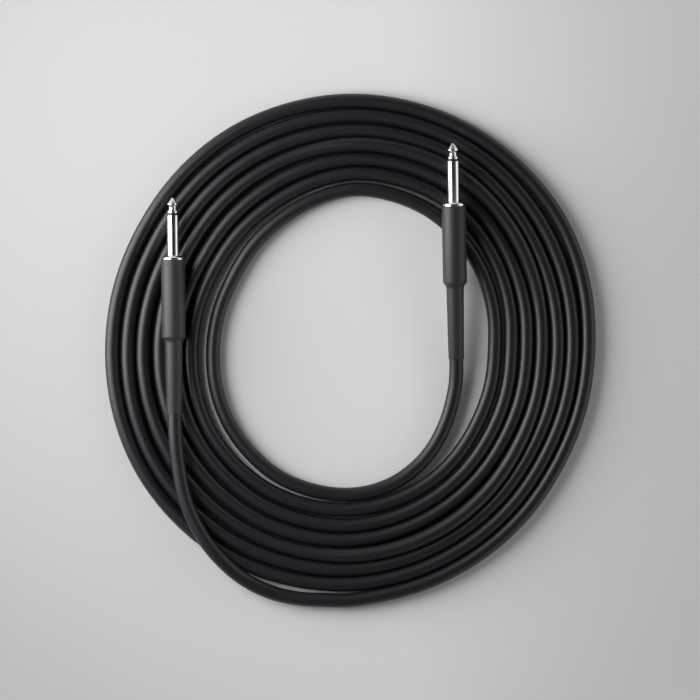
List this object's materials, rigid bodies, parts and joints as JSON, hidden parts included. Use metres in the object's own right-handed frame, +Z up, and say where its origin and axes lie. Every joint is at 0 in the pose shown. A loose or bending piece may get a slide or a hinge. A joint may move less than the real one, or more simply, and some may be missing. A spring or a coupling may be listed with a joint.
{
  "type": "instrument cable",
  "caption": "Flexible instrument cable with a straight quarter inch jack plug moulded on each end, coiled flat in an open ring with both plugs lying across the turns.",
  "frame": {"origin": "middle of the whole object's bounding box, on the table that the coil lies on", "axes": "+Z up from the table, +Y the way that both plug tips point, +X to the right of that seen from above"},
  "size_m": [0.2573, 0.27, 0.0215],
  "materials": {
    "jacket": "matte black flexible cable jacket",
    "moulding": "satin black moulded handle and boot",
    "nickel": "bright nickel plated brass",
    "insulator": "black insulating plastic",
    "washer": "brown pressed board",
    "tag": "tinned brass sheet",
    "copper": "bare stranded copper",
    "core_signal": "white core insulation",
    "core_ground": "black core insulation",
    "solder": "dull solder",
    "shell": "natural hard plastic"
  },
  "bodies": {
    "root": {"coil": "jacket", "ground_core_left": "core_ground", "ground_core_right": "core_ground", "ground_solder_left": "solder", "ground_solder_right": "solder", "ground_strand_left": "copper", "ground_strand_right": "copper", "handle_left": "moulding", "handle_right": "moulding", "inner_shell_left": "shell", "inner_shell_right": "shell", "jacket_end_left": "jacket", "jacket_end_right": "jacket", "lead_left": "jacket", "lead_right": "jacket", "rear_washer_left": "washer", "rear_washer_right": "washer", "signal_core_left": "core_signal", "signal_core_right": "core_signal", "signal_solder_left": "solder", "signal_solder_right": "solder", "signal_strand_left": "copper", "signal_strand_right": "copper", "sleeve_contact_left": "nickel", "sleeve_contact_right": "nickel", "sleeve_tag_left": "tag", "sleeve_tag_right": "tag", "tip_contact_left": "nickel", "tip_contact_right": "nickel", "tip_insulator_left": "insulator", "tip_insulator_right": "insulator", "tip_tag_left": "tag", "tip_tag_right": "tag"}
  },
  "joints": []
}
